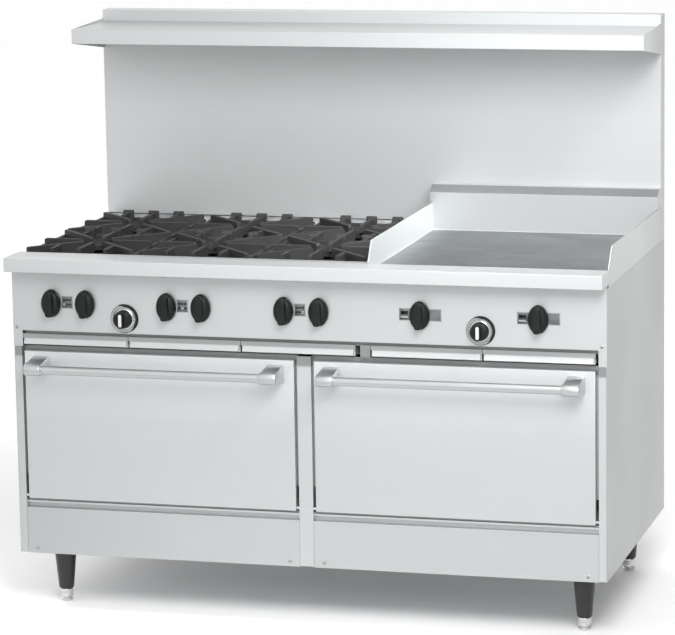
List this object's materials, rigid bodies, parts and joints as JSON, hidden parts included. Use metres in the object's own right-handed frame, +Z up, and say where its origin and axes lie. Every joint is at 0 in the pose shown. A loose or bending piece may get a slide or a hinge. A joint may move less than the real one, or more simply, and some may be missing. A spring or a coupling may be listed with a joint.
{
  "type": "commercial gas range",
  "caption": "Free-standing restaurant gas range: open burners under cast grates, griddle with splash and trough, side-by-side ovens, backguard and high shelf on legs.",
  "frame": {"origin": "middle of the overall footprint, on the floor", "axes": "+X to the right seen from the front (towards the griddle), +Y to the back, +Z up; the doors face -Y"},
  "size_m": [1.5, 0.9, 1.449],
  "materials": {
    "stainless": "number 4 brushed stainless sheet",
    "galvanised": "dull aluminised or zinc-coated sheet",
    "enamel": "dark porcelain enamel with fine specks",
    "bright_wire": "bright plated steel",
    "castings": "rough grey-black cast iron",
    "griddle_steel": "ground and seasoned plate",
    "handle_metal": "satin polished",
    "pipe_paint": "black painted steel",
    "regulator_body": "die cast, as cast",
    "valve_brass": "machined brass",
    "knob_plastic": "satin black heat-resistant plastic",
    "label_ink": "satin grey printed plate",
    "tray_steel": "thin pressed sheet",
    "leg_paint": "black powder coat",
    "screw_steel": "plated pan-head screws"
  },
  "bodies": {
    "range": {"left_side_panel": "stainless", "right_side_panel": "stainless", "control_panel": "stainless", "front_rail": "stainless", "kick_panels": "stainless", "backguard": "stainless", "high_shelf": "stainless", "griddle_splash": "stainless", "grease_trough": "stainless", "front_frame": "stainless", "rear_panel": "galvanised", "bottom_pan": "galvanised", "cooktop_frame": "galvanised", "tray_hangers": "galvanised", "griddle_burners": "galvanised", "hinge_receivers": "galvanised", "oven_liners": "enamel", "oven_decks": "enamel", "levelling_feet": "bright_wire", "oven_burners": "castings", "open_burners": "castings", "griddle_plate": "griddle_steel", "gas_manifold": "pipe_paint", "thermostats": "pipe_paint", "gas_regulator": "regulator_body", "gas_valves": "valve_brass", "label_plates": "label_ink", "legs": "leg_paint", "screws": "screw_steel"},
    "left_door": {"left_door_skin": "stainless", "left_door_liner": "enamel", "left_door_handle": "handle_metal", "left_hinge_arms": "galvanised"},
    "right_door": {"right_door_skin": "stainless", "right_door_liner": "enamel", "right_door_handle": "handle_metal", "right_hinge_arms": "galvanised"},
    "knob_left_front": {"knob_left_front": "knob_plastic"},
    "knob_left_rear": {"knob_left_rear": "knob_plastic"},
    "knob_middle_front": {"knob_middle_front": "knob_plastic"},
    "knob_middle_rear": {"knob_middle_rear": "knob_plastic"},
    "knob_right_front": {"knob_right_front": "knob_plastic"},
    "knob_right_rear": {"knob_right_rear": "knob_plastic"},
    "knob_griddle_left": {"knob_griddle_left": "knob_plastic"},
    "knob_griddle_right": {"knob_griddle_right": "knob_plastic"},
    "dial_left_oven": {"dial_left_oven": "knob_plastic"},
    "dial_right_oven": {"dial_right_oven": "knob_plastic"},
    "grate_left_front": {"grate_left_front": "castings"},
    "grate_left_rear": {"grate_left_rear": "castings"},
    "grate_middle_front": {"grate_middle_front": "castings"},
    "grate_middle_rear": {"grate_middle_rear": "castings"},
    "grate_right_front": {"grate_right_front": "castings"},
    "grate_right_rear": {"grate_right_rear": "castings"},
    "drip_tray_left": {"drip_tray_left": "tray_steel"},
    "drip_tray_middle": {"drip_tray_middle": "tray_steel"},
    "drip_tray_right": {"drip_tray_right": "tray_steel"},
    "drip_tray_griddle_left": {"drip_tray_griddle_left": "tray_steel"},
    "drip_tray_griddle_right": {"drip_tray_griddle_right": "tray_steel"},
    "left_oven_rack": {"left_oven_rack": "bright_wire"},
    "right_oven_rack": {"right_oven_rack": "bright_wire"}
  },
  "joints": [
    {"name": "left_door_hinge", "type": "hinge", "parent": "range", "child": "left_door", "pos_m": [-0.37385, -0.361, 0.297], "axis": [1, 0, 0], "range_deg": [0, 90], "stiffness_Nm_per_rad": 6, "springref_deg": -17.19},
    {"name": "right_door_hinge", "type": "hinge", "parent": "range", "child": "right_door", "pos_m": [0.37385, -0.361, 0.297], "axis": [1, 0, 0], "range_deg": [0, 90], "stiffness_Nm_per_rad": 6, "springref_deg": -17.19},
    {"name": "knob_left_front_turn", "type": "hinge", "parent": "range", "child": "knob_left_front", "pos_m": [-0.6462, -0.386, 0.79], "axis": [0, -1, 0], "range_deg": [0, 90]},
    {"name": "knob_left_rear_turn", "type": "hinge", "parent": "range", "child": "knob_left_rear", "pos_m": [-0.5578, -0.386, 0.79], "axis": [0, -1, 0], "range_deg": [0, 90]},
    {"name": "knob_middle_front_turn", "type": "hinge", "parent": "range", "child": "knob_middle_front", "pos_m": [-0.3467, -0.386, 0.79], "axis": [0, -1, 0], "range_deg": [0, 90]},
    {"name": "knob_middle_rear_turn", "type": "hinge", "parent": "range", "child": "knob_middle_rear", "pos_m": [-0.2583, -0.386, 0.79], "axis": [0, -1, 0], "range_deg": [0, 90]},
    {"name": "knob_right_front_turn", "type": "hinge", "parent": "range", "child": "knob_right_front", "pos_m": [-0.0472, -0.386, 0.79], "axis": [0, -1, 0], "range_deg": [0, 90]},
    {"name": "knob_right_rear_turn", "type": "hinge", "parent": "range", "child": "knob_right_rear", "pos_m": [0.0412, -0.386, 0.79], "axis": [0, -1, 0], "range_deg": [0, 90]},
    {"name": "knob_griddle_left_turn", "type": "hinge", "parent": "range", "child": "knob_griddle_left", "pos_m": [0.294, -0.386, 0.79], "axis": [0, -1, 0], "range_deg": [0, 90]},
    {"name": "knob_griddle_right_turn", "type": "hinge", "parent": "range", "child": "knob_griddle_right", "pos_m": [0.585, -0.386, 0.79], "axis": [0, -1, 0], "range_deg": [0, 90]},
    {"name": "dial_left_oven_turn", "type": "hinge", "parent": "range", "child": "dial_left_oven", "pos_m": [-0.457, -0.386, 0.757], "axis": [0, -1, 0], "range_deg": [0, 280]},
    {"name": "dial_right_oven_turn", "type": "hinge", "parent": "range", "child": "dial_right_oven", "pos_m": [0.443, -0.386, 0.757], "axis": [0, -1, 0], "range_deg": [0, 280]},
    {"name": "grate_left_front_lift", "type": "slide", "parent": "range", "child": "grate_left_front", "axis": [0, 0, 1], "range_m": [0, 0.1]},
    {"name": "grate_left_rear_lift", "type": "slide", "parent": "range", "child": "grate_left_rear", "axis": [0, 0, 1], "range_m": [0, 0.1]},
    {"name": "grate_middle_front_lift", "type": "slide", "parent": "range", "child": "grate_middle_front", "axis": [0, 0, 1], "range_m": [0, 0.1]},
    {"name": "grate_middle_rear_lift", "type": "slide", "parent": "range", "child": "grate_middle_rear", "axis": [0, 0, 1], "range_m": [0, 0.1]},
    {"name": "grate_right_front_lift", "type": "slide", "parent": "range", "child": "grate_right_front", "axis": [0, 0, 1], "range_m": [0, 0.1]},
    {"name": "grate_right_rear_lift", "type": "slide", "parent": "range", "child": "grate_right_rear", "axis": [0, 0, 1], "range_m": [0, 0.1]},
    {"name": "drip_tray_left_slide", "type": "slide", "parent": "range", "child": "drip_tray_left", "axis": [0, -1, 0], "range_m": [0, 0.45]},
    {"name": "drip_tray_middle_slide", "type": "slide", "parent": "range", "child": "drip_tray_middle", "axis": [0, -1, 0], "range_m": [0, 0.45]},
    {"name": "drip_tray_right_slide", "type": "slide", "parent": "range", "child": "drip_tray_right", "axis": [0, -1, 0], "range_m": [0, 0.45]},
    {"name": "drip_tray_griddle_left_slide", "type": "slide", "parent": "range", "child": "drip_tray_griddle_left", "axis": [0, -1, 0], "range_m": [0, 0.45]},
    {"name": "drip_tray_griddle_right_slide", "type": "slide", "parent": "range", "child": "drip_tray_griddle_right", "axis": [0, -1, 0], "range_m": [0, 0.45]},
    {"name": "left_oven_rack_slide", "type": "slide", "parent": "range", "child": "left_oven_rack", "axis": [0, -1, 0], "range_m": [0, 0.025]},
    {"name": "right_oven_rack_slide", "type": "slide", "parent": "range", "child": "right_oven_rack", "axis": [0, -1, 0], "range_m": [0, 0.025]}
  ]
}
